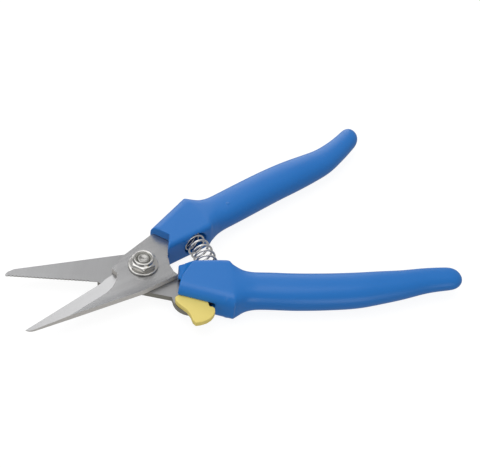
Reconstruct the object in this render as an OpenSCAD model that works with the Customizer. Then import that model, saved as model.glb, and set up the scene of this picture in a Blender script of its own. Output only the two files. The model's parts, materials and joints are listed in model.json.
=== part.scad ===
// Spring-opened snips: two plate blades on a nut and bolt, moulded handles on their tangs,
// a coil spring that pushes the handles apart and a thumb catch that holds them shut.
// Both halves are drawn closed, blade towards -X, handle towards +X, with the pivot on the
// Z axis and the plane between the blades at z = 0. The lower half is drawn mirrored in Y.

/* [Blades] */
// Pivot to the tip of each blade
blade_length = 58; // [50:1:68]
// Thickness of each blade
blade_t = 2.5; // [2:0.1:3]
// Gap between the two blades
blade_gap = 0.1; // [0.05:0.05:0.3]
// Width of the ground bevel of the upper blade
bevel_w = 7; // [5:0.5:8]
// Thickness left at the cutting edges
edge_t = 0.25; // [0.15:0.05:0.5]
// Pitch of the teeth of the lower blade
tooth_pitch = 1.5; // [1:0.1:2]
// Depth of the teeth of the lower blade
tooth_depth = 0.65; // [0.3:0.05:0.8]
// How far the tangs reach into the handles, from the pivot
tang_reach = 62; // [50:1:75]

/* [Pivot] */
// Diameter of the pivot bolt
bolt_d = 6; // [5:0.5:7]
// Radial running clearance of the upper blade and the catch
running_fit = 0.05; // [0.03:0.01:0.08]
// Diameter of the washer
washer_d = 13; // [12:0.5:15]
// Thickness of the washer
washer_t = 1; // [0.8:0.1:1.6]
// Width of the nut across its flats
nut_af = 10; // [9:0.5:11]
// Height of the hexagon of the nut
nut_hex_h = 2.5; // [2:0.1:4]
// Height of the round collar of the nut
nut_collar_h = 1.5; // [1:0.1:2.5]
// Diameter of the bolt's head
bolt_head_d = 11.5; // [10:0.5:13]
// Height of the bolt's head
bolt_head_h = 2.8; // [2:0.2:3.6]

/* [Handles] */
// Angle between the halves at rest, which is also how far they close
opening = 32; // [26:1:36]
// Pivot to the far end of the upper handle
handle_length = 143; // [125:1:160]
// Thickness of the handle heads
head_t = 14; // [13:0.5:18]
// Width of the grips
grip_w = 17.4; // [15:0.2:19]
// Thickness of the grips
grip_t = 12.8; // [11:0.2:14]
// Half of the gap between the handle heads when shut
stop_gap = 0.15; // [0.05:0.05:0.4]
// Radius of the long outer edges of the heads
head_edge_r = 4.5; // [2:0.5:5]
// Radius of the long inner edges of the heads
inner_edge_r = 2; // [0.5:0.5:3]

/* [Spring] */
// Distance of the spring from the pivot
spring_place = 28; // [26:0.5:30]
// Outer diameter of the spring
spring_d = 10; // [8:0.5:10]
// Diameter of the spring wire
wire_d = 1; // [0.8:0.1:1.4]
// Number of turns
spring_turns = 9; // [7:1:10]
// Radial clearance of the spring in its pockets
pocket_fit = 0.75; // [0.6:0.05:1]
// Depth of each pocket
pocket_depth = 5; // [4:0.5:5.5]

/* [Catch] */
// Diameter of the catch pin
pin_d = 3; // [2.5:0.5:4]
// Thickness of the catch
catch_t = 2.4; // [2:0.1:2.6]
// Clearance above and below the catch
catch_gap = 0.1; // [0.05:0.05:0.2]

/* [Hidden] */
$fn = 96;
steel = "silver";
blue = "royalblue";
half = opening / 2;
blade_z = blade_gap / 2;
deep = 40;

// ---------- small helpers ----------
function turned(p, a) = [p[0] * cos(a) - p[1] * sin(a), p[0] * sin(a) + p[1] * cos(a)];
function mirrored(p) = [p[0], -p[1]];
function arc(c, r, a0, a1, n) = [for (i = [0 : n]) let (a = a0 + (a1 - a0) * i / n)
    [c[0] + r * cos(a), c[1] + r * sin(a)]];
function blend(p, t) = p[0] + (p[1] - p[0]) * t;
// value at x on a smooth curve through a list of [x, value]
function slope(k, i) = i == 0 || i == len(k) - 1 ? let (j = i == 0 ? 1 : i)
    (k[j][1] - k[j - 1][1]) / (k[j][0] - k[j - 1][0])
    : (k[i + 1][1] - k[i - 1][1]) / (k[i + 1][0] - k[i - 1][0]);
function hermite(k, i, x) = let (h = k[i + 1][0] - k[i][0], t = (x - k[i][0]) / h)
    k[i][1] * (1 + 2 * t) * (1 - t) * (1 - t) + slope(k, i) * h * t * (1 - t) * (1 - t)
    + k[i + 1][1] * t * t * (3 - 2 * t) - slope(k, i + 1) * h * t * t * (1 - t);
function span(k, x, i = 0) = i >= len(k) - 2 || x < k[i + 1][0] ? i : span(k, x, i + 1);
function smooth_at(k, x) = hermite(k, span(k, x), x);

// ---------- the heads' walls, which the grips grow out of ----------
wall_slope = 19.4;
head_back = 37;
upper_back_y = 23.2;
lower_back_y = 25;
function outer_wall(x, back_y) = back_y - (head_back - x) * tan(wall_slope);

// ---------- the grips: lines through their middles, and their sections ----------
grip_start = 34;
drawn_length = 143;
upper_middle = [[46, 10.6], [53, 10.8], [65, 11.4], [80, 12], [93, 12], [104, 11.8],
                [114, 12], [126, 14.6], [137, 18.1], [143, 20.2]];
lower_middle = [[46, 13], [53, 13.2], [67, 14], [80, 14], [92, 13.5], [103, 12.1],
                [116, 10.2], [126, 8.2], [135, 7.3], [143, 7.4]];
// share of the full width along the grip
grip_fullness = [[46, 0.98], [60, 1], [90, 0.98], [100, 0.93], [108, 0.86],
                 [116, 0.79], [124, 0.72], [131, 0.68], [143, 0.62]];
grip_stations = [46, 53, 65, 80, 93, 104, 114, 126, 137, 143];
function share(x) = smooth_at(grip_fullness, x);
// one long edge of a grip, side +1 outside or -1 inside, easing out of the head's corner
function edge(middle, side, corner, start) =
    let (neck = middle[0][1] + side * grip_w / 2 * share(46))
    [[grip_start, start], [head_back, corner], [39, blend([corner, neck], 0.45)],
     [42, blend([corner, neck], 0.83)],
     for (x = grip_stations) [x, smooth_at(middle, x) + side * grip_w / 2 * share(x)]];
grip_depth = [[grip_start, head_t], [head_back, head_t], [42, blend([head_t, grip_t], 0.75)],
              for (x = grip_stations) [x, grip_t * share(x)]];
roundness = [[grip_start, 0.3], [head_back, 0.35], [42, 0.62], [50, 0.8], [143, 0.85]];
grip_rings = 34;
grip_sides = 28;
end_round = 6;
function ring_place(i, length) = grip_start
    + (length - grip_start) * (1 - pow(1 - i / grip_rings, 1.35));
// how far along the drawn grip a place on one of another length is
function drawn_x(x, length) = x < 46 ? x : 46 + (x - 46) * (drawn_length - 46) / (length - 46);
function end_cap(x, length) = x < length - end_round ? 1
    : sqrt(max(0.0025, 1 - pow((x - length + end_round) / end_round, 2)));
function grip_ring(outer, inner, length, i) =
    let (x = ring_place(i, length), s = drawn_x(x, length), cap = end_cap(x, length),
         y0 = smooth_at(inner, s), y1 = smooth_at(outer, s), t = smooth_at(grip_depth, s) * cap,
         w = (y1 - y0) * cap, p = smooth_at(roundness, s))
    [for (j = [0 : grip_sides - 1]) let (a = 360 * j / grip_sides, c = cos(a), d = sin(a))
        [x, (y0 + y1) / 2 + w / 2 * sign(c) * pow(abs(c), p),
         t / 2 * sign(d) * pow(abs(d), p)]];
function grip_points(outer, inner, length) = [for (i = [0 : grip_rings])
    each grip_ring(outer, inner, length, i)];
grip_faces = [
    [for (j = [0 : grip_sides - 1]) j],
    for (i = [0 : grip_rings - 1], j = [0 : grip_sides - 1])
        let (k = (j + 1) % grip_sides, a = i * grip_sides, b = a + grip_sides)
        each [[a + k, a + j, b + j], [a + k, b + j, b + k]],
    [for (j = [grip_sides - 1 : -1 : 0]) grip_rings * grip_sides + j]];
lower_length = handle_length - 1.5;
function grip_start_y(back_y) = outer_wall(grip_start, back_y) - 0.4;
upper_grip_points = grip_points(edge(upper_middle, 1, upper_back_y, grip_start_y(upper_back_y)),
    edge(upper_middle, -1, stop_gap, stop_gap), handle_length);
lower_grip_points = grip_points(edge(lower_middle, 1, lower_back_y, grip_start_y(lower_back_y)),
    edge(lower_middle, -1, stop_gap, stop_gap), lower_length);

module grip(points) polyhedron(points = points, faces = grip_faces, convexity = 4);

// ---------- the heads ----------
// the lower head's nose: [y, x of its front over the blade, part of the way up, at the top]
nose_z = [blade_z + blade_t + 0.1, blade_z + blade_t + 1.4, head_t / 2 - 0.6];
nose_back = 25;
nose_rows = [[stop_gap, 15.1, 17.8, 22.6], [2.5, 15.2, 18, 20.4], [3.85, 15.43, 17.8, 19.4],
    [6.97, 14.29, 16.4, 17.45], [9.4, 15.6, 16, 16.3], [12.4, 14.9, 15, 15],
    [outer_wall(13.8, lower_back_y), 13.8, 13.8, 13.8]];
function nose_front(level) = [for (row = nose_rows) [row[level], row[0]]];
function nose_edge(row, level) = [row[level], row[0], nose_z[level - 1]];
module nose_block(a, b, level) polyhedron(
    points = [nose_edge(a, level), nose_edge(b, level),
        [nose_back, b[0], nose_z[level - 1]], [nose_back, a[0], nose_z[level - 1]],
        nose_edge(a, level + 1), nose_edge(b, level + 1),
        [nose_back, b[0], nose_z[level]], [nose_back, a[0], nose_z[level]]],
    faces = [[3, 2, 1, 0], [4, 5, 6, 7], [0, 1, 5], [0, 5, 4], [1, 2, 6, 5], [2, 3, 7, 6],
        [3, 0, 4, 7]]);
function head_outline(front, back_y) = [each front, [head_back, back_y],
    [head_back + 0.6, back_y - 1.2], [head_back + 0.6, stop_gap + 1.2], [head_back, stop_gap]];
upper_front = [[12.8, stop_gap], [17.6, 5.9], [13.5, outer_wall(13.5, upper_back_y)]];

// a long bar along X, its two edges at y = 0 rounded, which trims a head's top and bottom
module edge_bar(r) rotate([0, -90, 0]) linear_extrude(3 * deep, center = true) union() {
    translate([-head_t / 2, -deep]) square([head_t, deep - r]);
    translate([-head_t / 2 + r, -deep]) square([head_t - 2 * r, deep]);
    for (side = [-1, 1]) translate([side * (head_t / 2 - r), -r]) circle(r = r);
}
module edge_trim(back_y) {
    intersection() {
        translate([head_back, back_y, 0]) rotate([0, 0, wall_slope]) edge_bar(head_edge_r);
        translate([0, stop_gap, 0]) rotate([0, 0, 180]) edge_bar(inner_edge_r);
    }
}
module slab(z0, z1) translate([0, 0, z0]) linear_extrude(z1 - z0) children();

module upper_head() intersection() {
    slab(-head_t / 2, head_t / 2) polygon(head_outline(upper_front, upper_back_y));
    edge_trim(upper_back_y);
}
module lower_head() intersection() {
    union() {
        slab(-head_t / 2, nose_z[0]) polygon(head_outline(nose_front(1), lower_back_y));
        for (i = [1 : len(nose_rows) - 1], level = [1, 2])
            nose_block(nose_rows[i - 1], nose_rows[i], level);
        slab(nose_z[0], nose_z[2]) polygon(head_outline([[nose_back, stop_gap],
            [nose_back, nose_rows[len(nose_rows) - 1][0]], nose_front(1)[len(nose_rows) - 1]],
            lower_back_y));
        slab(nose_z[2], head_t / 2) polygon(head_outline(nose_front(3), lower_back_y));
    }
    edge_trim(lower_back_y);
}
// the pocket's floor lies on a line through the pivot, square to the end of the spring
pocket_angle = atan2(stop_gap + pocket_depth, spring_place);
module spring_pocket() rotate([0, 0, pocket_angle]) translate([spring_place, 0, 0])
    rotate([90, 0, 0]) cylinder(h = pocket_depth + 3, d = spring_d + 2 * pocket_fit);

// ---------- the blades ----------
tip_drop = 2.2;
root = [-19.2, 2.75];
edge_angle = atan2(root[1] + tip_drop, root[0] + blade_length);
hub_corner = [9.6, -12.3];
tang_holes = [46, 56];
tang_w = 8;
upper_outline = [
    [-blade_length, -tip_drop], root, [-14.9, 4.6], [-12, 5.9], [-3, 9.65], [13, 13.4], [24, 14.5],
    [34, upper_tang_y(34) + tang_w / 2], [tang_reach, upper_tang_y(tang_reach) + tang_w / 2],
    [tang_reach + 2, upper_tang_y(tang_reach)],
    [tang_reach, upper_tang_y(tang_reach) - tang_w / 2], [36, upper_tang_y(36) - tang_w / 2],
    [18, 6.5], [13.05, stop_gap], [11.7, -1.2], [11.4, -2.7], [9.6, -6.2], [8.9, -9],
    hub_corner,
    [0.5, -12.1], [-7.9, -11.9], [-18.3, -10.3], [-39.6, -7], [-blade_length + 2.8, -4.45],
    [-blade_length + 1.4, -3.9], [-blade_length + 0.6, -3.2]];
function upper_tang_y(x) = 10.5 + (x - 36) * 0.03;
function lower_tang_y(x) = 12.4 + (x - 36) * 0.04;
// the bevel runs out along a round of this radius, and stops at the heel past the root
wheel_r = 16;
wheel_x = -4.5;
heel = 7.4;
bevel_angle = atan2(blade_t - edge_t, bevel_w);
wheel_y = wheel_r - bevel_w / cos(bevel_angle);

module pivot_hole(r) cylinder(h = deep, r = r, center = true);
module tang_hole(x, y) translate([x, y, 0]) cylinder(h = deep, d = 4, center = true);

// the ground face: a flat that rises from the cutting edge and runs out round the heel
module bevel_cut() translate([root[0], root[1], blade_z + edge_t])
    rotate([0, 0, edge_angle]) rotate([-bevel_angle, 0, 0]) mirror([0, 1, 0])
        linear_extrude(deep) intersection() {
            union() {
                translate([wheel_x, -wheel_y]) circle(r = wheel_r);
                translate([wheel_x - 2 * deep, -wheel_y - wheel_r]) square([2 * deep, 2 * wheel_r]);
            }
            translate([-3 * deep, -deep]) square([3 * deep + heel, 2 * deep]);
        }
module upper_blade_flat() difference() {
    slab(blade_z, blade_z + blade_t) polygon(upper_outline);
    pivot_hole(bolt_d / 2 + running_fit);
    for (x = tang_holes) tang_hole(x, upper_tang_y(x));
}
module upper_blade_closed() difference() {
    upper_blade_flat();
    bevel_cut();
}

// the lower blade, drawn mirrored
lower_root = [-19.4, 6.75];
lower_tip = [-blade_length + 0.3, 2.9];
tab_middle = [19.9, 16.2];
tab_r = 8.1;
catch_middle = [22, 11.2];
lower_angle = atan2(lower_root[1] - lower_tip[1], lower_root[0] - lower_tip[0]);
lower_run = norm(lower_root - lower_tip);
lower_outline = [
    lower_tip, lower_root, [-17.2, 8.45], [-0.2, 12.5], [11.5, 15.8],
    each arc(tab_middle, tab_r, 175, 62, 12), [28, 20.5],
    [30, lower_tang_y(30) + tang_w / 2], [tang_reach, lower_tang_y(tang_reach) + tang_w / 2],
    [tang_reach + 2, lower_tang_y(tang_reach)],
    [tang_reach, lower_tang_y(tang_reach) - tang_w / 2], [33, lower_tang_y(33) - tang_w / 2],
    [22, 6.6], [14, 3], [11, -4], each arc([0, 0], 10.6, -32, -118, 8),
    [-12, -8.2], [-blade_length + 3.7, -0.9], [-blade_length + 1.1, 0.6],
    [-blade_length + 0.2, 1.8]];
tooth_count = floor(lower_run / tooth_pitch) - 2;

module lower_teeth() translate([lower_tip[0], lower_tip[1], 0]) rotate([0, 0, lower_angle])
    for (i = [1 : tooth_count]) translate([i * tooth_pitch, 0, 0])
        linear_extrude(deep, center = true)
            polygon([[-tooth_pitch * 0.5, 0.2], [0, -tooth_depth], [tooth_pitch * 0.5, 0.2]]);
lower_bevel_w = 3;
module lower_bevel() translate([lower_root[0], lower_root[1], -blade_z - edge_t])
    rotate([0, 0, lower_angle]) rotate([atan2(blade_t - edge_t, lower_bevel_w), 0, 0])
        translate([-60, -deep, -deep]) cube([60, 2 * deep, deep]);
module lower_blade_closed() difference() {
    slab(-blade_z - blade_t, -blade_z) polygon(lower_outline);
    pivot_hole(bolt_d / 2);
    for (x = tang_holes) tang_hole(x, lower_tang_y(x));
    translate([catch_middle[0], catch_middle[1], 0]) pivot_hole(pin_d / 2);
    lower_teeth();
    lower_bevel();
}

// ---------- the catch, drawn mirrored in its open place ----------
catch_hub_r = 4.2;
catch_z = -blade_z + catch_gap;
catch_top = catch_z + catch_t;
catch_outline = [
    [13.8, 17], [12.9, 17.6], [12.7, 18.7], [13, 20], [14, 21.4], [17.3, 24.9], [18.6, 27.6],
    [19.4, 30.6], [20.5, 31.9], [22.6, 31.6], [25.1, 30.7], [27.1, 29.2], [28.3, 27.6],
    [28.9, 26], [28.9, 24.3], [28.1, 23.4], [26.7, 23.1], [26.4, 21.4],
    [catch_middle[0] + catch_hub_r, catch_middle[1]],
    each arc(catch_middle, catch_hub_r, 0, -150, 10), [16, 14]];
slot_top = catch_top + catch_gap;
slot_front = 6.5;
slot_back = 29.3;
module catch_slot() slab(-blade_z, slot_top) polygon([[0, slot_front],
    [catch_middle[0] + 5.2, slot_front], [slot_back, 14], [slot_back, deep], [0, deep]]);

// ---------- each half, drawn closed ----------
module upper_handle_closed() difference() {
    union() {
        upper_head();
        grip(upper_grip_points);
    }
    upper_blade_flat();
    spring_pocket();
}
module lower_handle_closed() difference() {
    union() {
        lower_head();
        grip(lower_grip_points);
    }
    lower_tang_space();
    spring_pocket();
    catch_slot();
    translate([catch_middle[0], catch_middle[1], slot_top - 0.5]) cylinder(h = 2, d = pin_d);
}
module lower_tang_space() difference() {
    slab(-blade_z - blade_t, -blade_z) polygon(lower_outline);
    for (x = tang_holes) tang_hole(x, lower_tang_y(x));
}

// ---------- placing: the origin is under the middle of the whole object's box ----------
upper_reach = [for (p = upper_grip_points) turned(p, half)];
lower_reach = [for (p = lower_grip_points) mirrored(turned(p, half))];
lower_blade_reach = [for (p = lower_outline) mirrored(turned(p, half))];
upper_blade_reach = [for (p = upper_outline) turned(p, half)];
all_reach = concat(upper_reach, lower_reach, lower_blade_reach, upper_blade_reach);
middle_x = (min([for (p = all_reach) p[0]]) + max([for (p = all_reach) p[0]])) / 2;
middle_y = (min([for (p = all_reach) p[1]]) + max([for (p = all_reach) p[1]])) / 2;
module placed() translate([-middle_x, -middle_y, head_t / 2]) children();
module upper_half() placed() rotate([0, 0, half]) children();
module lower_half() placed() mirror([0, 1, 0]) rotate([0, 0, half]) children();

// ---------- the sub-parts ----------
module upper_blade() color(steel) upper_half() upper_blade_closed();
module lower_blade() color(steel) lower_half() lower_blade_closed();
module upper_handle() color(blue) upper_half() upper_handle_closed();
module lower_handle() color(blue) lower_half() lower_handle_closed();

washer_z = blade_z + blade_t + blade_gap;
nut_z = washer_z + washer_t;
collar_z = nut_z + nut_hex_h;
nut_top = collar_z + nut_collar_h;
bolt_top = nut_top - 0.3;
collar_r = nut_af / 2 - 0.6;
ring_r = collar_r - 0.7;

module pivot_bolt() color(steel) placed() difference() {
    union() {
        translate([0, 0, -blade_z - blade_t])
            cylinder(h = bolt_top + blade_z + blade_t - 0.6, d = bolt_d);
        translate([0, 0, bolt_top - 0.6]) cylinder(h = 0.6, d1 = bolt_d, d2 = bolt_d - 1.2);
        translate([0, 0, -blade_z - blade_t - bolt_head_h]) cylinder(h = 0.8,
            d1 = bolt_head_d - 1.6, d2 = bolt_head_d);
        translate([0, 0, -blade_z - blade_t - bolt_head_h + 0.8])
            cylinder(h = bolt_head_h - 0.8, d = bolt_head_d);
    }
    translate([0, 0, -blade_z - blade_t - bolt_head_h - 1])
        cylinder(h = 1 + bolt_head_h * 0.7, d = 4.6, $fn = 6);
}
module pivot_washer() color(steel) placed() translate([0, 0, washer_z]) difference() {
    cylinder(h = washer_t, d = washer_d);
    pivot_hole(bolt_d / 2 + 0.1);
}
module pivot_nut() color(steel) placed() difference() {
    union() {
        translate([0, 0, nut_z]) intersection() {
            cylinder(h = nut_hex_h, r = nut_af / 2 / cos(30), $fn = 6);
            cylinder(h = nut_hex_h, r1 = nut_af / 2 + nut_hex_h + 0.1, r2 = nut_af / 2 + 0.1);
            cylinder(h = nut_hex_h, r1 = nut_af / 2 + 0.1, r2 = nut_af / 2 + nut_hex_h + 0.1);
        }
        translate([0, 0, collar_z]) cylinder(h = nut_collar_h - 0.6, r = collar_r);
        translate([0, 0, nut_top - 0.6]) cylinder(h = 0.6, r1 = collar_r, r2 = collar_r - 0.5);
    }
    pivot_hole(bolt_d / 2);
    translate([0, 0, collar_z]) cylinder(h = deep, r = ring_r);
}
module nut_lock_ring() color("white") placed() translate([0, 0, collar_z]) difference() {
    cylinder(h = nut_collar_h - 0.4, r = ring_r);
    pivot_hole(bolt_d / 2);
}
module catch_lever() color("khaki") lower_half() difference() {
    slab(catch_z, catch_top) polygon(catch_outline);
    translate([catch_middle[0], catch_middle[1], 0]) pivot_hole(pin_d / 2 + running_fit);
}
module catch_pin() color(steel) lower_half()
    translate([catch_middle[0], catch_middle[1], -blade_z - blade_t])
        cylinder(h = blade_z + blade_t + slot_top + 1.5, d = pin_d);

// the spring is wound along an arc about the pivot, so it leans with both handles
coil_r = (spring_d - wire_d) / 2;
spring_half_angle = half + pocket_angle - asin(wire_d / 2 / (spring_place + coil_r));
wire_sides = 8;
turn_steps = 18;
spring_steps = spring_turns * turn_steps;
dead_turns = 0.8;
// share of the length used up after a given share of the turns, with closed end turns
function wound(t) = let (e = dead_turns / spring_turns, dead = wire_d * dead_turns
    / (2 * spring_half_angle * PI / 180 * spring_place))
    t < e ? dead * t / e : t > 1 - e ? 1 - dead * (1 - t) / e
    : dead + (1 - 2 * dead) * (t - e) / (1 - 2 * e);
function wire_ring(i) = let (t = i / spring_steps, w = 360 * spring_turns * t,
    a = spring_half_angle * (2 * wound(t) - 1))
    [for (j = [0 : wire_sides - 1]) let (b = 360 * j / wire_sides,
        r = spring_place + (coil_r + wire_d / 2 * cos(b)) * cos(w),
        z = (coil_r + wire_d / 2 * cos(b)) * sin(w), s = wire_d / 2 * sin(b))
        [r * cos(a) - s * sin(a), r * sin(a) + s * cos(a), z]];
wire_faces = [
    [for (j = [wire_sides - 1 : -1 : 0]) j],
    for (i = [0 : spring_steps - 1], j = [0 : wire_sides - 1])
        let (k = (j + 1) % wire_sides, a = i * wire_sides, b = a + wire_sides)
        each [[a + j, a + k, b + j], [a + k, b + k, b + j]],
    [for (j = [0 : wire_sides - 1]) spring_steps * wire_sides + j]];
module handle_spring() color(steel) placed() polyhedron(
    points = [for (i = [0 : spring_steps]) each wire_ring(i)], faces = wire_faces,
    convexity = 10);

upper_blade();
lower_blade();
upper_handle();
lower_handle();
pivot_bolt();
pivot_washer();
pivot_nut();
nut_lock_ring();
handle_spring();
catch_lever();
catch_pin();
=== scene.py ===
# %% [markdown]
# # Spring-opened snips
# Two steel blades turn on one nut and bolt. Each blade has a moulded blue handle on its tang, a
# coil spring pushes the handles apart, and a yellow thumb catch holds them shut. The packed
# model gives the frame: every size below is read from it, or is a small size of one finish.

# %% Load the frame
import json
from math import atan2, cos, degrees, pi, radians, sin, sqrt

import bmesh
import bpy
from mathutils import Matrix, Vector


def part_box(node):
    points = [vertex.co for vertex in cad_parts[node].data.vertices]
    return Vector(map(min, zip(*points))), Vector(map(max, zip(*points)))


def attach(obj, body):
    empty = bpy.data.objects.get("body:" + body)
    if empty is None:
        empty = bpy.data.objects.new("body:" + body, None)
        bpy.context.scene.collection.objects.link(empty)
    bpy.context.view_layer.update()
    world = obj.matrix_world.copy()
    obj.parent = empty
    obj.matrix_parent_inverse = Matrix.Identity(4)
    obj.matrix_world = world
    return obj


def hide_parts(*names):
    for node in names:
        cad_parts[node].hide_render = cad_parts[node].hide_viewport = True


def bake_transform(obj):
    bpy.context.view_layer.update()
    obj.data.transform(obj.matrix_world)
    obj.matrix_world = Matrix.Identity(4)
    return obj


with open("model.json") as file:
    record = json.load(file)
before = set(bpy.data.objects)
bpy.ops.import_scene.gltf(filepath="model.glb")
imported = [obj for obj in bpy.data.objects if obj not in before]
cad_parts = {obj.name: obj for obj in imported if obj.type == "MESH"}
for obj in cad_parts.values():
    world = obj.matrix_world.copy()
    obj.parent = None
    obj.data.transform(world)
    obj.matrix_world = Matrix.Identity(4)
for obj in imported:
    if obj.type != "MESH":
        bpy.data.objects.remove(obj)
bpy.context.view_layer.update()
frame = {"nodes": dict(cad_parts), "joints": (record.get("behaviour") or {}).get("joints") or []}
MM = 0.001
hinge = {joint["name"]: joint for joint in frame["joints"]}["pivot_hinge"]
pivot = Vector(hinge["pos_m"])
opening = radians(hinge["range_deg"][1])
print("nodes:", sorted(frame["nodes"]))
print("pivot in mm:", [round(v / MM, 2) for v in pivot], "opening:", round(degrees(opening), 1))

# %% [markdown]
# ## Places on a turned half
# Both halves are turned about the pivot by half of the opening. `half_place` takes a point
# given as for closed snips, blade towards -X, and returns where it is on the open ones. The
# lower half is the mirror image of the upper one, so its side is -1.

# %% A point of either half
def half_place(x, y, z, side):
    turned = Matrix.Rotation(opening / 2, 3, "Z") @ Vector((x, y, 0))
    return Vector((pivot.x + turned.x, pivot.y + side * turned.y, z))


print("tip of the upper blade in mm:", [round(v / MM, 1) for v in half_place(-0.058, -0.002, 0, 1)])

# %% [markdown]
# ## Writing shaders as sums
# A material is easier to read as arithmetic than as a list of links. `Socket` wraps an output
# and overloads the operators, so `noise * 0.2 + 0.4` adds two Math nodes. `Shader.node` adds
# any other node: its settings go in first, and then the values or links of its inputs.

# %% The socket
class Socket:
    def __init__(self, shader, output):
        self.shader = shader
        self.output = output

    def maths(self, operation, *others):
        inputs = {i: value for i, value in enumerate((self,) + others)}
        return self.shader.node("ShaderNodeMath", {"operation": operation}, inputs)

    def __add__(self, other):
        return self.maths("ADD", other)

    def __sub__(self, other):
        return self.maths("SUBTRACT", other)

    def __rsub__(self, other):
        return self.shader.node("ShaderNodeMath", {"operation": "SUBTRACT"}, {0: other, 1: self})

    def __mul__(self, other):
        return self.maths("MULTIPLY", other)

    def __truediv__(self, other):
        return self.maths("DIVIDE", other)

    __radd__ = __add__
    __rmul__ = __mul__

    def clamp(self):
        return self.shader.node("ShaderNodeClamp", {}, {0: self})

    def ramp(self, low, high):
        return self.shader.node("ShaderNodeMapRange", {"interpolation_type": "SMOOTHSTEP"},
                                {0: self, 1: low, 2: high, 3: 0.0, 4: 1.0})


print("sockets can be added, subtracted, multiplied and divided")

# %% The shader
class Shader:
    def __init__(self, owner, coordinates):
        owner.use_nodes = True
        self.owner = owner
        self.tree = owner.node_tree
        self.place = self.node("ShaderNodeTexCoord", {}, {}, coordinates)

    def node(self, kind, settings, inputs, output=0):
        made = self.tree.nodes.new(kind)
        for name, value in settings.items():
            setattr(made, name, value)
        for key, value in inputs.items():
            self.feed(made.inputs[key], value)
        return Socket(self, made.outputs[output])

    def feed(self, entry, value):
        if isinstance(value, Socket):
            self.tree.links.new(value.output, entry)
        else:
            entry.default_value = value

    def noise(self, scale, detail, stretch=(1, 1, 1), turn=0.0):
        where = self.node("ShaderNodeMapping", {}, {"Vector": self.place,
                                                    "Rotation": (0, 0, turn)})
        where = self.node("ShaderNodeMapping", {}, {"Vector": where, "Scale": stretch})
        return self.node("ShaderNodeTexNoise", {}, {"Vector": where, "Scale": scale,
                                                    "Detail": detail})

    def mix(self, share, first, second):
        return self.node("ShaderNodeMix", {"data_type": "RGBA"}, {0: share, 6: first, 7: second}, 2)

    def part(self, axis, vector=None):
        return self.node("ShaderNodeSeparateXYZ", {}, {0: vector or self.place}, axis)

    def bump(self, height, distance, strength):
        return self.node("ShaderNodeBump", {}, {"Height": height, "Distance": distance,
                                                "Strength": strength}, "Normal")

    def finish(self, end, **values):
        for name, value in values.items():
            self.feed(self.tree.nodes[end].inputs[name.replace("_", " ")], value)
        return self.owner


SURFACE = "Principled BSDF"


def new_shader(name):
    return Shader(bpy.data.materials.new(name), "Object")


print("a finish ends in", SURFACE)

# %% [markdown]
# ## Ground steel
# The blades are stainless plate, ground with a belt. A belt leaves fine lines that run along
# the blade, so a noise is stretched along it and feeds both the roughness and a faint bump.
# The bevels are ground again, across the edge, and a painted highlight lifts their colour a
# little, for the light they catch. A bevel is wherever the surface lies below the plate's own
# face, so the height alone tells the two apart.
# Two more masks share out the rest. The sawn walls of the plate are found by how upright they
# stand, and are duller than a ground face. The strip along the back of the blade is found by
# its place across the blade, and is painted darker: painted shade for the dim reflection there.

# %% The steel of the two blades
FINE_LINES, BROAD_LINES, CROSS_LINES, CLOUDS = 900, 160, 1100, 70
FINE_STRETCH, BROAD_STRETCH = (0.02, 1, 1), (0.05, 1, 1)
CROSS_TURN = radians(80)
BEVEL_DROP = (0.01, 0.05)
WALL_TO_FACE = (0.4, 0.8)
# A strip along the spine of each blade is painted darker: painted shade.
SPINE_SHADE_STRIP, SPINE_SHADE_TAPER = (-0.0125, -0.008), 0.155
SPINE_SHADE_TONE = (0.22, 0.225, 0.235, 1)
COLD = 0.005


def ground_steel(name, side, face_z, depth, dark, light, wall_tone):
    steel = new_shader(name)
    lay = side * opening / 2
    fine = steel.noise(FINE_LINES, 2, FINE_STRETCH, -lay)
    broad = steel.noise(BROAD_LINES, 3, BROAD_STRETCH, -lay)
    cloud = steel.noise(CLOUDS, 2)
    cross = steel.noise(CROSS_LINES, 2, FINE_STRETCH, -lay - CROSS_TURN)
    bevel = ((steel.part("Z") - face_z) / depth).maths("ABSOLUTE").ramp(*BEVEL_DROP)
    facing = steel.node("ShaderNodeTexCoord", {}, {}, "Normal")
    wall = 1.0 - steel.part("Z", facing).maths("ABSOLUTE").ramp(*WALL_TO_FACE)
    lines = steel.mix(bevel * (1.0 - wall), fine, cross)
    centred = steel.node("ShaderNodeVectorMath", {"operation": "SUBTRACT"},
                         {0: steel.place, 1: pivot})
    turned = steel.node("ShaderNodeMapping", {}, {"Vector": centred, "Rotation": (0, 0, -lay)})
    across = steel.part("Y", turned) * side
    length = steel.part("X", turned)
    # Mask of the strip along the spine, where painted shade darkens the flat.
    spine_shade = (1.0 - (across + length * SPINE_SHADE_TAPER).ramp(*SPINE_SHADE_STRIP)) * (1.0 - bevel)
    # bevel * 0.08 is a painted highlight on the bevels.
    shade = (lines * 0.10 + broad * 0.12 + cloud * 0.16 - 0.09).clamp() + bevel * 0.08
    face = steel.mix(shade.clamp(), (dark, dark, dark + COLD, 1), (light, light, light + COLD, 1))
    face = steel.mix(spine_shade * 0.5, face, SPINE_SHADE_TONE)
    colour = steel.mix(wall, face, wall_tone + (1,))
    rough = lines * 0.10 + cloud * 0.08 + 0.16 + bevel * 0.06 + wall * 0.20
    return steel.finish(SURFACE, Base_Color=colour, Metallic=0.92 - wall * 0.50, Roughness=rough,
                        Normal=steel.bump(lines, 0.00002, 0.35))


print("belt lines lie", round(degrees(opening / 2), 1), "degrees off the middle on each blade")

# %% [markdown]
# ## Plated steel
# The washer, the nut, the bolt, the spring and the catch's pin are bright and round, so the
# lights on them do most of the work. A soft noise drifts between two near tones and dulls some
# patches, as on hardware that has been handled. The bolt's end is darker, and the spring brighter.

# %% The plated steels
SMEARS, SMEAR_DEPTH = 260, 0.82


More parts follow.
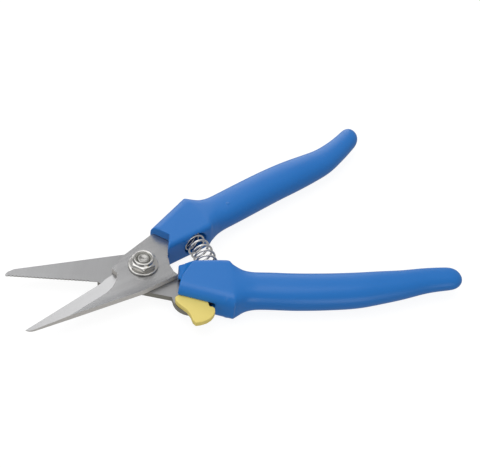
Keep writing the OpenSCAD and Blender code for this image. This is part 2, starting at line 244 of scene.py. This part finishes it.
def bright_steel(name, tint, rough):
    steel = new_shader(name)
    smear = steel.noise(SMEARS, 3)
    colour = steel.mix(smear, tuple(SMEAR_DEPTH * c for c in tint) + (1,), tint + (1,))
    return steel.finish(SURFACE, Base_Color=colour, Metallic=1.0, Roughness=smear * 0.10 + rough)


plated_steel = bright_steel("plated_steel", (0.60, 0.59, 0.57), 0.09)
screw_steel = bright_steel("screw_steel", (0.36, 0.355, 0.34), 0.2)
spring_wire = bright_steel("spring_wire", (0.78, 0.77, 0.76), 0.16)
print("made the plated steels")

# %% [markdown]
# ## Moulded plastics
# The handles are a semi-gloss plastic: a light grain from the mould breaks up the reflections,
# the colour drifts very slightly, and handling has dulled the surface in soft patches. The
# catch is the same kind of plastic in yellow, with a drier surface. Both take their look from
# noises on Object coordinates, because their shapes have no natural direction. The upper grip
# also has two small marks from its mould: each is a low bump round one point, because a mark
# of a millimetre isn't worth its own faces.

# %% The blue of the handles, the yellow of the catch and the nylon
DRIFT, GRAIN, DULL_PATCHES = 28, 900, 55
MARK_R, MARK_HEIGHT = 1.1 * MM, 8.0
MARKS = [half_place(0.0518, 0.0083, 0.01335, 1), half_place(0.0543, 0.0025, 0.0114, 1)]


def moulded(name, light, dark, rough, grain, marks=()):
    plastic = new_shader(name)
    drift = plastic.noise(DRIFT, 3)
    mottle = plastic.noise(GRAIN, 2)
    dull = plastic.noise(DULL_PATCHES, 4)
    colour = plastic.mix((drift * 0.8 + mottle * 0.2).clamp(), dark + (1,), light + (1,))
    skin = mottle * grain
    for centre in marks:
        away = plastic.node("ShaderNodeVectorMath", {"operation": "DISTANCE"},
                            {0: plastic.place, 1: centre}, "Value")
        skin = skin + (1.0 - away.ramp(MARK_R * 0.3, MARK_R)) * MARK_HEIGHT
    return plastic.finish(SURFACE, Base_Color=colour, Roughness=dull * 0.16 + rough,
                          Normal=plastic.bump(skin, 0.00006, 0.5))


blue_plastic = moulded("blue_plastic", (0.004, 0.170, 0.560), (0.002, 0.150, 0.510), 0.28, 0.12,
                       MARKS)
yellow_plastic = moulded("yellow_plastic", (0.84, 0.69, 0.19), (0.78, 0.63, 0.16), 0.42, 0.20)
nylon = moulded("nylon", (0.52, 0.52, 0.47), (0.44, 0.44, 0.40), 0.40, 0.1)
print("made the plastics")

# %% [markdown]
# ## From a bmesh to a piece
# Every new piece goes through one function: it makes the object, gives it its finish, smooths
# its faces, hides the plain model part that it stands for and lets it ride on its body. A piece
# given a blend is fixed where it stands instead.

# %% Finish a piece
def add_piece(name, mesh, finish, body, stands_for, blend=None):
    piece = bpy.data.objects.new(name, mesh)
    bpy.context.scene.collection.objects.link(piece)
    mesh.materials.clear()
    mesh.materials.append(finish)
    for face in mesh.polygons:
        face.use_smooth = True
    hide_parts(*stands_for)
    if blend:
        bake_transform(piece)
    else:
        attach(piece, body)
    print(name, "has", len(mesh.polygons), "faces")
    return piece


print("pieces will stand for some of", len(frame["nodes"]), "nodes")

# %% [markdown]
# ## Meshes in and out of a bmesh
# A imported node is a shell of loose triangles, so a copy of it is merged before it is shaped.
# Modifiers are put on a short-lived object, and the shaped mesh is read back from it, so that a
# finished piece has no live modifier on it.

# %% Copy a node and apply modifiers
def mesh_of(work, name):
    bmesh.ops.recalc_face_normals(work, faces=work.faces[:])
    mesh = bpy.data.meshes.new(name)
    work.to_mesh(mesh)
    work.free()
    return mesh


MERGE = 0.01 * MM


def merged_copy(node):
    work = bmesh.new()
    work.from_mesh(frame["nodes"][node].data)
    bmesh.ops.remove_doubles(work, verts=work.verts[:], dist=MERGE)
    return work


def applied(mesh, name, modifiers, weights=None):
    holder = bpy.data.objects.new(name, mesh)
    bpy.context.scene.collection.objects.link(holder)
    if weights:
        group = holder.vertex_groups.new(name="weights")
        for vertex in mesh.vertices:
            group.add([vertex.index], weights(vertex.co), "REPLACE")
    for kind, settings in modifiers:
        modifier = holder.modifiers.new(kind.lower(), kind)
        for key, value in settings.items():
            setattr(modifier, key, value)
    graph = bpy.context.evaluated_depsgraph_get()
    shaped = bpy.data.meshes.new_from_object(holder.evaluated_get(graph))
    bpy.data.objects.remove(holder)
    return shaped


print("copies are merged at", MERGE / MM, "mm")

# %% [markdown]
# ## The moulded handles
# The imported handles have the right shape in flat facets. Each is copied and given an even skin
# of small faces by a voxel remesh, and then relaxed. The head keeps its edges with a few steps,
# like the edges a mould leaves, and the grip is relaxed until its facets are gone, all but the
# inner corner where it leaves the head. The top edge at the front of the head is rounder on the
# real handle, so it is relaxed once more. A subdivision would need a clean cage of quads, which
# a copied handle doesn't have.

# %% Which part of a handle is relaxed, and how much
VOXEL = 0.4 * MM
HEAD_END, GRIP_BEGIN = 31 * MM, 43 * MM
FRONT_BEGIN, FRONT_END = 22 * MM, 25 * MM
KEPT_CORNER = (0.5 * MM, 5 * MM)
HEAD_STEPS, GRIP_STEPS, FRONT_STEPS = 4, 60, 40


def smoothstep(value, low, high):
    t = min(1, max(0, (value - low) / (high - low)))
    return t * t * (3 - 2 * t)


print("halfway from head to grip:", smoothstep((HEAD_END + GRIP_BEGIN) / 2, HEAD_END, GRIP_BEGIN))

# %% Remesh and relax the handles
def handle_piece(name, node, body, side, corner, front_low):
    along = half_place(1, 0, 0, side) - half_place(0, 0, 0, side)
    outward = half_place(0, 1, 0, side) - half_place(0, 0, 0, side)

    def on_grip(point):
        x, y = (point - pivot).dot(along), (point - pivot).dot(outward)
        from_corner = sqrt((x - corner[0]) ** 2 + (y - corner[1]) ** 2)
        return smoothstep(x, HEAD_END, GRIP_BEGIN) * smoothstep(from_corner, *KEPT_CORNER)

    def on_front(point):
        x = (point - pivot).dot(along)
        near_front = smoothstep(-x, -FRONT_END, -FRONT_BEGIN)
        return near_front * smoothstep(point.z, front_low, front_low + MM)

    mesh = mesh_of(merged_copy(node), name)
    mesh = applied(mesh, name, [("REMESH", {"mode": "VOXEL", "voxel_size": VOXEL})])
    mesh = applied(mesh, name, [("SMOOTH", {"factor": 0.5, "iterations": HEAD_STEPS})])
    for steps, weights in ((GRIP_STEPS, on_grip), (FRONT_STEPS, on_front)):
        mesh = applied(mesh, name, [("SMOOTH", {"factor": 0.5, "iterations": steps,
                                                "vertex_group": "weights"})], weights)
    add_piece(name, mesh, blue_plastic, body, [node])


UPPER_CORNER, LOWER_CORNER = (37 * MM, 23.2 * MM), (37 * MM, 25 * MM)
UPPER_FRONT_LOW, LOWER_FRONT_LOW = 11 * MM, 9.4 * MM
handle_piece("moulded_upper_handle", "upper_handle", "upper_half", 1, UPPER_CORNER,
             UPPER_FRONT_LOW)
handle_piece("moulded_lower_handle", "lower_handle", "lower_half", -1, LOWER_CORNER,
             LOWER_FRONT_LOW)

# %% [markdown]
# ## The blades
# The plates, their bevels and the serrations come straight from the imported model. They only
# need their steel. The catch's pin is kept too, in the same plated steel as the nut.

# %% Put the steel on the blades and the pin
def dress(node, finish):
    mesh = frame["nodes"][node].data
    for slot in range(len(mesh.materials)):
        mesh.materials[slot] = finish
    if not mesh.materials:
        mesh.materials.append(finish)


upper_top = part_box("upper_blade")[1].z
lower_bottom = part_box("lower_blade")[0].z
plate = upper_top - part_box("upper_blade")[0].z
dress("upper_blade", ground_steel("upper_blade_steel", 1, upper_top, plate, 0.40, 0.62,
                                  (0.66, 0.64, 0.61)))
# The lower blade is the same steel as the upper one. Its darker tones and much darker walls are
# painted shade, where it lies under the upper blade.
dress("lower_blade", ground_steel("lower_blade_steel", -1, lower_bottom, plate, 0.30, 0.50,
                                  (0.26, 0.25, 0.22)))
dress("catch_pin", plated_steel)
print("plate thickness in mm:", round(plate / MM, 2))

# %% [markdown]
# ## Turned hardware
# The washer, the nut's collar, the nylon ring and the bolt are round, so each is one outline
# spun about the pivot. The outline is a list of (radius, height) in millimetres, and
# `rounded` puts an arc on a corner of it, because a sharp steel edge never catches the light.

# %% Spin an outline about the pivot
def rounded(corner, radius, begin, end, steps=4):
    return [(corner[0] + radius * cos(radians(begin + (end - begin) * i / steps)),
             corner[1] + radius * sin(radians(begin + (end - begin) * i / steps)))
            for i in range(steps + 1)]


def spun(outline, base_z, segments=96):
    work = bmesh.new()
    ring = [work.verts.new((radius * MM, 0, height * MM)) for radius, height in outline]
    edges = [work.edges.new(pair) for pair in zip(ring, ring[1:])]
    bmesh.ops.spin(work, geom=ring + edges, cent=(0, 0, 0), axis=(0, 0, 1), dvec=(0, 0, 0),
                   angle=2 * pi, steps=segments, use_merge=True)
    bmesh.ops.remove_doubles(work, verts=work.verts[:], dist=0.001 * MM)
    bmesh.ops.translate(work, verts=work.verts[:], vec=(pivot.x, pivot.y, base_z))
    return work


def height_of(node):
    low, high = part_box(node)
    return low.z, (high.z - low.z) / MM


WASHER_BORE_R, RIM_EDGE, BORE_EDGE = 3.1, 0.3, 0.2
washer_z, washer_t = height_of("pivot_washer")
rim_r = (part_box("pivot_washer")[1].x - pivot.x) / MM - RIM_EDGE
washer = spun([(WASHER_BORE_R, 0)] + rounded((rim_r, RIM_EDGE), RIM_EDGE, -90, 0)
              + rounded((rim_r, washer_t - RIM_EDGE), RIM_EDGE, 0, 90)
              + rounded((WASHER_BORE_R + BORE_EDGE, washer_t - BORE_EDGE), BORE_EDGE, 90, 180)
              + [(WASHER_BORE_R, 0)], washer_z)
add_piece("washer", mesh_of(washer, "washer"), plated_steel, "lower_half",
          ["pivot_washer"])

# %% [markdown]
# ## The lock nut
# A lock nut is a hexagon with both ends turned to a cone, and a round collar that is rolled
# in over a nylon ring. The whole nut is spun first as a round blank. Its lower rings are then
# pulled out to a hexagon, but never past the cone, which leaves the curved chamfer of a real
# nut without cutting one shape with another.

# %% Outline of the blank
nut_z, nut_h = height_of("pivot_nut")
FLAT_R, HEX_H, COLLAR_R = 5.0, 2.5, 4.4
RING_R = COLLAR_R - 0.7
THREAD_R = 3.0
FOOT, ROLL_R, LIP = 0.15, 0.45, 0.35
low_levels = [0, 0.08, 0.16, 0.26, 0.4]
levels = low_levels + [HEX_H / 2] + [HEX_H - level for level in reversed(low_levels)]
nut_outline = ([(THREAD_R, 0)] + [(FLAT_R, z) for z in levels]
               + [(COLLAR_R + FOOT, HEX_H), (COLLAR_R, HEX_H + FOOT)]
               + rounded((COLLAR_R - ROLL_R, nut_h - ROLL_R), ROLL_R, 0, 120, 6)
               + [(RING_R - LIP, nut_h - 0.22), (RING_R - LIP, nut_h - 0.4),
                  (RING_R, nut_h - 0.42), (RING_R, HEX_H), (THREAD_R, HEX_H), (THREAD_R, 0)])
print("nut outline:", len(nut_outline), "points")

# %% Spin the blank and pull out its hexagon
nut = spun(nut_outline, nut_z, 144)
NUT_TURN = radians(12)
CONE_START, CONE_SLOPE = FLAT_R - 0.15, 0.5


def hexagon_r(angle):
    return FLAT_R * MM / cos((angle - NUT_TURN) % (pi / 3) - pi / 6)


def pull_out(vert, target):
    out = Vector((vert.co.x - pivot.x, vert.co.y - pivot.y))
    vert.co.x = pivot.x + out.x * target / out.length
    vert.co.y = pivot.y + out.y * target / out.length


for vert in nut.verts:
    out = Vector((vert.co.x - pivot.x, vert.co.y - pivot.y))
    z = (vert.co.z - nut_z) / MM
    if abs(out.length / MM - FLAT_R) < 0.01 and z < HEX_H + 0.01:
        cone = CONE_START * MM + min(z, HEX_H - z) * MM / CONE_SLOPE
        pull_out(vert, min(hexagon_r(atan2(out.y, out.x)), cone))
add_piece("lock_nut", mesh_of(nut, "lock_nut"), plated_steel, "lower_half",
          ["pivot_nut"])

# %% Spin the nylon ring
ring_h = nut_h - HEX_H - ROLL_R
SOFT_EDGE = 0.25
ring = spun([(THREAD_R, 0), (RING_R, 0), (RING_R, ring_h - 0.1)]
            + rounded((RING_R - LIP, ring_h - SOFT_EDGE), SOFT_EDGE, 20, 120)
            + [(THREAD_R + 0.05, ring_h - 0.2), (THREAD_R, 0)], nut_z + HEX_H * MM)
add_piece("nylon_ring", mesh_of(ring, "nylon_ring"), nylon, "lower_half",
          ["nut_lock_ring"])

# %% [markdown]
# ## The bolt
# Its shank ends just below the rim of the nut, with a chamfer and a small centre mark, and its
# domed head sits under the lower blade. The head is spun with its shank. The spin leaves a round
# hole in the head; its rim is extruded into a six-sided socket, pushed in and closed.

# %% Spin the bolt
bolt_z, bolt_h = height_of("pivot_bolt")
HEAD_R, HEAD_H, HEAD_SIDE = 5.75, 2.8, 0.5
SOCKET_R, SOCKET_DEPTH = 2.3, 1.7
DOME_BEGIN, DOME_END, DOME_STEP = 26, 62, 6
rim_cos = cos(radians(DOME_END))
dome = [(HEAD_R * sin(radians(a)) / sin(radians(DOME_END)),
         (cos(radians(a)) - rim_cos) / (1 - rim_cos))
        for a in range(DOME_BEGIN, DOME_END + 1, DOME_STEP)]
head = [(r, (HEAD_H - HEAD_SIDE) * (1 - h)) for r, h in dome]
bolt = spun([(SOCKET_R * 1.1, head[0][1])] + head
            + rounded((HEAD_R - SOFT_EDGE, HEAD_H - SOFT_EDGE), SOFT_EDGE, 0, 90)
            + [(THREAD_R, HEAD_H), (THREAD_R, bolt_h - 0.6), (2.45, bolt_h - 0.05), (2.3, bolt_h),
               (1.5, bolt_h - 0.02), (1.1, bolt_h - 0.2), (0.4, bolt_h - 0.3)], bolt_z, 72)
print("bolt blank:", len(bolt.verts), "points")

# %% Sink its socket
def new_items(result, kind):
    return [item for item in result["geom"] if isinstance(item, kind)]


open_rims = [edge for edge in bolt.edges if edge.is_boundary]
low_rim = [edge for edge in open_rims if edge.verts[0].co.z < bolt_z + HEAD_H * MM / 2]
high_rim = [edge for edge in open_rims if edge not in low_rim]
bmesh.ops.holes_fill(bolt, edges=high_rim, sides=0)
mouth = bmesh.ops.extrude_edge_only(bolt, edges=low_rim)
for vert in new_items(mouth, bmesh.types.BMVert):
    angle = atan2(vert.co.y - pivot.y, vert.co.x - pivot.x)
    pull_out(vert, SOCKET_R * MM * cos(pi / 6) / cos(angle % (pi / 3) - pi / 6))
deep = bmesh.ops.extrude_edge_only(bolt, edges=new_items(mouth, bmesh.types.BMEdge))
bmesh.ops.translate(bolt, verts=new_items(deep, bmesh.types.BMVert),
                    vec=(0, 0, SOCKET_DEPTH * MM))
bmesh.ops.holes_fill(bolt, edges=new_items(deep, bmesh.types.BMEdge), sides=0)
add_piece("pivot_screw", mesh_of(bolt, "pivot_screw"), screw_steel, "lower_half",
          ["pivot_bolt"])

# %% [markdown]
# ## The spring
# The spring is wound wire. A ring of the wire's thickness is extruded step by step, and each
# step carries it a little further round the coil and a little further from one handle to the
# other, along an arc about the pivot. The first and last turns lie close together, as on a
# spring with closed ends. Every ring remembers its share of the movement, but the spring
# itself is fixed where it stands and doesn't follow the handles.

# %% Measure the spring
spring_points = [vertex.co - pivot for vertex in frame["nodes"]["handle_spring"].data.vertices]
spring_low, spring_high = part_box("handle_spring")
WIRE_R = 0.5 * MM
coil_r = (spring_high.z - spring_low.z) / 2 - WIRE_R
radii = [sqrt(p.x ** 2 + p.y ** 2) for p in spring_points]
spring_r = (min(radii) + max(radii)) / 2
widest = max(atan2(p.y, p.x) for p in spring_points)
half_angle = widest - WIRE_R / (spring_r + coil_r)
TURNS, STEPS, CLOSED, WIRE_SIDES = 9, 30, 0.8, 14
print("spring: radius", round(spring_r / MM, 2), "coil", round(coil_r / MM, 2),
      "half angle", round(degrees(half_angle), 2))
closed_share = 2 * WIRE_R * CLOSED / (2 * half_angle * spring_r)
print("share of the way in each closed end:", round(closed_share, 3))

# %% Where the wire is at each share of its length
def wound(t):
    closed_part = CLOSED / TURNS
    if t < closed_part:
        return closed_share * t / closed_part
    if t > 1 - closed_part:
        return 1 - closed_share * (1 - t) / closed_part
    return closed_share + (1 - 2 * closed_share) * (t - closed_part) / (1 - 2 * closed_part)


def wire_place(t):
    return (Matrix.Translation((pivot.x, pivot.y, (spring_low.z + spring_high.z) / 2))
            @ Matrix.Rotation(half_angle * (2 * wound(t) - 1), 4, "Z")
            @ Matrix.Translation((spring_r, 0, 0))
            @ Matrix.Rotation(-2 * pi * TURNS * t, 4, "Y")
            @ Matrix.Translation((coil_r, 0, 0)))


print("first ring in mm:", [round(v / MM, 1) for v in wire_place(0).translation])

# %% Wind the wire
wire = bmesh.new()
moved = wire.verts.layers.float.new("share")
bmesh.ops.create_circle(wire, segments=WIRE_SIDES, radius=WIRE_R, matrix=wire_place(0))
rim = wire.edges[:]
bmesh.ops.edgeloop_fill(wire, edges=rim)
ALL_STEPS = TURNS * STEPS
for step in range(1, ALL_STEPS + 1):
    before, after = wire_place((step - 1) / ALL_STEPS), wire_place(step / ALL_STEPS)
    grown = bmesh.ops.extrude_edge_only(wire, edges=rim)
    ends = new_items(grown, bmesh.types.BMVert)
    rim = [edge for edge in new_items(grown, bmesh.types.BMEdge)
           if all(vert in ends for vert in edge.verts)]
    bmesh.ops.transform(wire, matrix=after @ before.inverted(), verts=ends)
    share = (wound(step / ALL_STEPS) - closed_share) / (1 - 2 * closed_share)
    for vert in ends:
        vert[moved] = min(1, max(0, share))
bmesh.ops.edgeloop_fill(wire, edges=rim)
print("wire:", len(wire.faces), "faces")

# %% Fix the spring where it stands
spring_seat = {side: pivot + Matrix.Rotation(side * half_angle, 3, "Z") @ Vector((spring_r, 0, 0))
               for side in (-1, 1)}
spring = add_piece("coil_spring", mesh_of(wire, "coil_spring"), spring_wire, None,
                   ["handle_spring"], {"bodies": ("lower_half", "upper_half"),
                                       "start": spring_seat[-1], "end": spring_seat[1]})

# %% [markdown]
# ## The thumb catch
# The catch is a small flat moulding. Its copy gets a rounded edge from a Bevel modifier, which
# leaves its flat faces alone, after its loose triangles are joined into whole faces.

# %% Round the edges of the catch
CATCH_EDGE, SHARP, FLAT = 0.35 * MM, radians(40), radians(1)
lever = merged_copy("catch_lever")
bmesh.ops.dissolve_limit(lever, angle_limit=FLAT, verts=lever.verts[:], edges=lever.edges[:])
lever_mesh = applied(mesh_of(lever, "thumb_catch"), "thumb_catch", [
    ("BEVEL", {"width": CATCH_EDGE, "segments": 3, "limit_method": "ANGLE",
               "angle_limit": SHARP})])
add_piece("thumb_catch", lever_mesh, yellow_plastic, "catch", ["catch_lever"])

# %% [markdown]
# ## The stage
# A pale floor and four large soft lights: one overhead, and weaker ones at the left, behind and
# in front. The low one behind lights the bevels, which lean away from the camera. The floor glows
# a little, so that it stays pale without strong light, and it is kept out of the reflections, so
# that the steel mirrors the lights and not the floor.

# %% The floor
FLOOR_HALF, FLOOR_GAP = 3, 0.5 * MM
floor_work = bmesh.new()
bmesh.ops.create_grid(floor_work, x_segments=1, y_segments=1, size=FLOOR_HALF)
floor_mesh = bpy.data.meshes.new("floor")
floor_work.to_mesh(floor_mesh)
floor_work.free()
floor = bpy.data.objects.new("floor", floor_mesh)
bpy.context.scene.collection.objects.link(floor)
floor_paint = new_shader("floor_paint").finish(
    SURFACE, Base_Color=(0.15, 0.15, 0.15, 1), Roughness=0.9,
    Emission_Color=(1, 1, 1, 1), Emission_Strength=0.9)
floor_mesh.materials.append(floor_paint)
floor.location.z = -FLOOR_GAP
floor.visible_diffuse = False
floor.visible_glossy = False
print("floor", FLOOR_GAP / MM, "mm below the snips")

# %% The lights and the sky
def soft_light(name, place, size, power):
    light = bpy.data.lights.new(name, "AREA")
    light.size = size
    light.energy = power
    holder = bpy.data.objects.new(name, light)
    bpy.context.scene.collection.objects.link(holder)
    holder.location = place
    holder.rotation_euler = (-Vector(place)).to_track_quat("-Z", "Y").to_euler()


soft_light("overhead", (-0.2, 0.3, 1.2), 1.2, 6.8)
soft_light("left_fill", (-1.2, -0.3, 0.7), 0.9, 2.5)
soft_light("back_card", (0.3, 1.3, 0.42), 1.1, 4.5)
soft_light("front_fill", (0.1, -1.3, 0.1), 0.8, 3.0)
SKY_LOW, SKY_GAIN, SKY_RISE = 0.43, 0.10, (-0.15, 0.75)
world = Shader(bpy.data.worlds.new("studio"), "Generated")
rise = world.part("Z").ramp(*SKY_RISE)
bpy.context.scene.world = world.finish("Background", Color=(1, 1, 1, 1),
                                       Strength=rise * SKY_GAIN + SKY_LOW)
bpy.context.scene.view_settings.view_transform = "Standard"

# %% [markdown]
# ## The camera
# The view is from above and in front of the lower handle, about 45 degrees down, with a short
# telephoto lens and a slight roll.

# %% Place the camera
FILM_WIDTH, FOCAL_LENGTH = 36, 74.4
camera_place = Vector((-0.1364, -0.2778, 0.3243))
camera_aim = Vector((0.0095, 0.0022, 0.0070))
camera_roll = radians(8)
lens = bpy.data.cameras.new("camera")
lens.sensor_width = FILM_WIDTH
lens.lens = FOCAL_LENGTH
camera = bpy.data.objects.new("camera", lens)
bpy.context.scene.collection.objects.link(camera)
look = (camera_aim - camera_place).to_track_quat("-Z", "Y").to_matrix()
camera.matrix_world = Matrix.Translation(camera_place) @ (
    look @ Matrix.Rotation(camera_roll, 3, "Z")).to_4x4()
bpy.context.scene.camera = camera
print("camera", round((camera_aim - camera_place).length, 3), "m from what it looks at")
